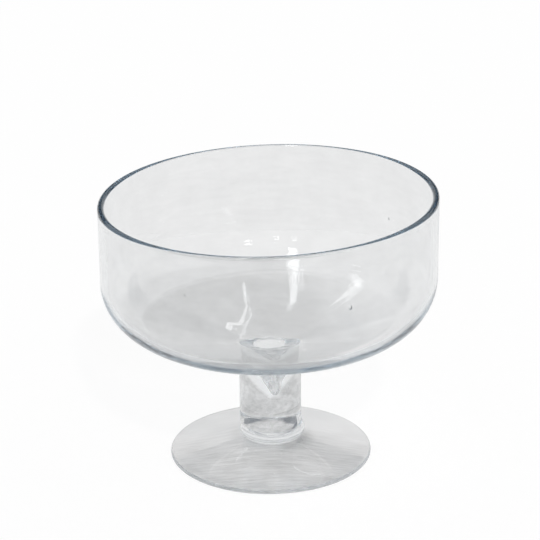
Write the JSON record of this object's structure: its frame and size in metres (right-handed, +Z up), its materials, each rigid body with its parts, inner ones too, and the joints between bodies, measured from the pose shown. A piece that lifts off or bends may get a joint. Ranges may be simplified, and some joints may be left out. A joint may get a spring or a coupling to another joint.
{
  "type": "footed trifle bowl",
  "caption": "Clear glass trifle bowl: a deep straight-sided bowl with a rounded belly and a dished bottom, on a short solid stem with a collar and a wide low foot.",
  "frame": {"origin": "on the bowl's axis, in the plane that the foot stands on", "axes": "+Z up along the axis of the bowl, stem and foot; X and Y are level and interchangeable"},
  "size_m": [0.22, 0.22, 0.18],
  "materials": {
    "clear_glass": "polished"
  },
  "bodies": {
    "root": {"bowl": "clear_glass", "stem": "clear_glass", "collar": "clear_glass", "foot": "clear_glass"}
  },
  "joints": []
}
